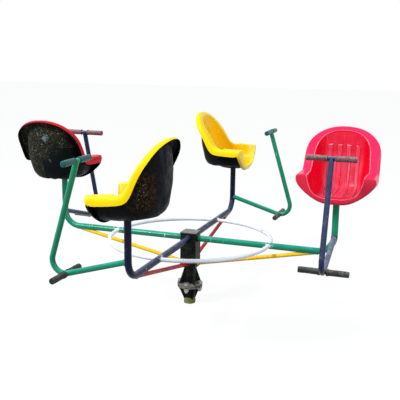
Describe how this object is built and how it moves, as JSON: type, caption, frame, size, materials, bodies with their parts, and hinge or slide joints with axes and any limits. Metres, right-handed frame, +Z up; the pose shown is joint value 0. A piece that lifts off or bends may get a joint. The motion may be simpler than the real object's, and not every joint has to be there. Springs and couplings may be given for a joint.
{
  "type": "merry go round",
  "caption": "Playground roundabout with bucket seats on bent arms round a square hub, with tie ring, braces, foot rests and hand bars, turning on a bolted pedestal.",
  "frame": {"origin": "on the spindle axis at ground level, the centre of the stub pipe's lower end", "axes": "+Z up along the spindle, +X along one of the green arms, -Y along one of the navy arms"},
  "size_m": [1.9648, 1.9648, 1.0197],
  "materials": {
    "navy_paint": "gloss enamel, worn",
    "green_paint": "gloss enamel, worn",
    "red_paint": "gloss enamel, worn",
    "yellow_paint": "gloss enamel, worn",
    "white_paint": "gloss enamel",
    "black_paint": "matt enamel, dusty",
    "yellow_plastic": "glass fibre moulding, gel coat, black underneath",
    "red_plastic": "glass fibre moulding, gel coat, black underneath",
    "galvanised": "zinc plated",
    "bearing_steel": "ground and polished",
    "bare_steel": "turned",
    "grip_rubber": "ribbed, dusty",
    "teal_rubber": "smooth",
    "black_rubber": "matt, dusty"
  },
  "bodies": {
    "pedestal": {"ground_stub": "black_paint", "lower_flange": "black_paint", "lower_gussets": "black_paint", "upper_flange": "black_paint", "upper_gussets": "black_paint", "spindle": "bare_steel", "flange_bolts": "galvanised", "flange_washers": "galvanised", "flange_nuts": "galvanised", "lower_bearing_inner_ring": "bearing_steel", "upper_bearing_inner_ring": "bearing_steel", "bearing_spacer": "bare_steel", "spindle_washer": "bare_steel", "spindle_nut": "bare_steel", "cotter_pin": "bare_steel"},
    "rotor": {"hub_housing": "black_paint", "hub_top_cap": "black_paint", "seat_bolts": "galvanised", "seat_nuts": "galvanised", "lower_bearing_seat": "bare_steel", "upper_bearing_seat": "bare_steel", "lower_bearing_outer_ring": "bearing_steel", "upper_bearing_outer_ring": "bearing_steel", "hub_seal": "black_rubber", "foot_sleeves": "black_rubber", "seat_plates": "black_paint", "arm_right": "green_paint", "brace_right": "yellow_paint", "ring_arc_right": "white_paint", "handle_tube_right": "navy_paint", "foot_bar_right": "black_paint", "hand_bar_right": "navy_paint", "grips_right": "grip_rubber", "seat_right": "red_plastic", "arm_back": "navy_paint", "brace_back": "red_paint", "ring_arc_back": "white_paint", "handle_tube_back": "green_paint", "foot_bar_back": "black_paint", "hand_bar_back": "green_paint", "grips_back": "teal_rubber", "seat_back": "yellow_plastic", "arm_left": "green_paint", "brace_left": "yellow_paint", "ring_arc_left": "white_paint", "handle_tube_left": "navy_paint", "foot_bar_left": "black_paint", "hand_bar_left": "navy_paint", "grips_left": "grip_rubber", "seat_left": "red_plastic", "arm_front": "navy_paint", "brace_front": "red_paint", "ring_arc_front": "white_paint", "handle_tube_front": "green_paint", "foot_bar_front": "black_paint", "hand_bar_front": "green_paint", "grips_front": "teal_rubber", "seat_front": "yellow_plastic"},
    "lower_ball_set": {"lower_bearing_balls": "bearing_steel"},
    "upper_ball_set": {"upper_bearing_balls": "bearing_steel"}
  },
  "joints": [
    {"name": "hub_spin", "type": "hinge", "parent": "pedestal", "child": "rotor", "pos_m": [0, 0, 0.29], "axis": [0, 0, 1], "continuous": true},
    {"name": "lower_ball_spin", "type": "hinge", "parent": "pedestal", "child": "lower_ball_set", "pos_m": [0, 0, 0.2345], "axis": [0, 0, 1], "continuous": true},
    {"name": "upper_ball_spin", "type": "hinge", "parent": "pedestal", "child": "upper_ball_set", "pos_m": [0, 0, 0.3485], "axis": [0, 0, 1], "continuous": true}
  ],
  "couplings": [
    {"joint": "lower_ball_spin", "follows": "hub_spin", "ratio": 0.6037},
    {"joint": "upper_ball_spin", "follows": "hub_spin", "ratio": 0.6037}
  ]
}
